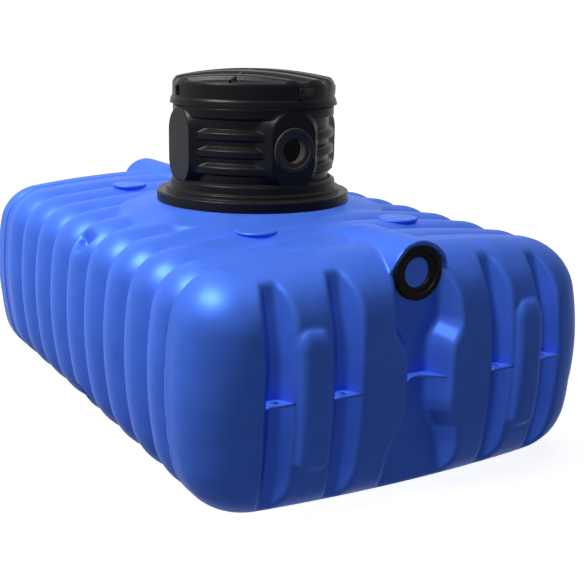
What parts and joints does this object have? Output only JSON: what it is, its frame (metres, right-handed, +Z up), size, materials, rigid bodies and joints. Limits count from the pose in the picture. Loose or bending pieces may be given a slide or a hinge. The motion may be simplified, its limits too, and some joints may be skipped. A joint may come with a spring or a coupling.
{
  "type": "underground water tank",
  "caption": "Low ribbed blue plastic tank for burying, with a black access shaft, pipe seals in its ends and shaft, and a lift-off cover.",
  "frame": {"origin": "on the ground under the middle of the manhole, at the centre of the box's bottom", "axes": "+X across the tank, +Y along it away from the front end, +Z up"},
  "size_m": [1.65, 2.594, 1.417],
  "materials": {
    "blue_shell": "satin",
    "black_plastic": "satin",
    "rubber": "matt"
  },
  "bodies": {
    "tank": {"floor": "blue_shell", "left_bilge": "blue_shell", "right_bilge": "blue_shell", "left_wall": "blue_shell", "right_wall": "blue_shell", "left_shoulder": "blue_shell", "right_shoulder": "blue_shell", "left_roof": "blue_shell", "right_roof": "blue_shell", "neck_saddle": "blue_shell", "front_hump": "blue_shell", "rear_hump": "blue_shell", "front_end": "blue_shell", "rear_end": "blue_shell", "front_gussets": "blue_shell", "rear_gussets": "blue_shell", "stacking_pads": "blue_shell", "shaft_collar": "black_plastic", "shaft_front_left": "black_plastic", "shaft_front_right": "black_plastic", "shaft_rear_left": "black_plastic", "shaft_rear_right": "black_plastic", "front_port": "black_plastic", "rear_port": "black_plastic", "left_port": "black_plastic", "right_port": "black_plastic", "front_pipe_seal": "rubber", "rear_pipe_seal": "rubber", "front_port_seal": "rubber"},
    "lid": {"lid": "black_plastic", "lid_lugs": "black_plastic"}
  },
  "joints": [
    {"name": "lid_lift", "type": "slide", "parent": "tank", "child": "lid", "axis": [0, 0, 1], "range_m": [0, 0.25]}
  ]
}
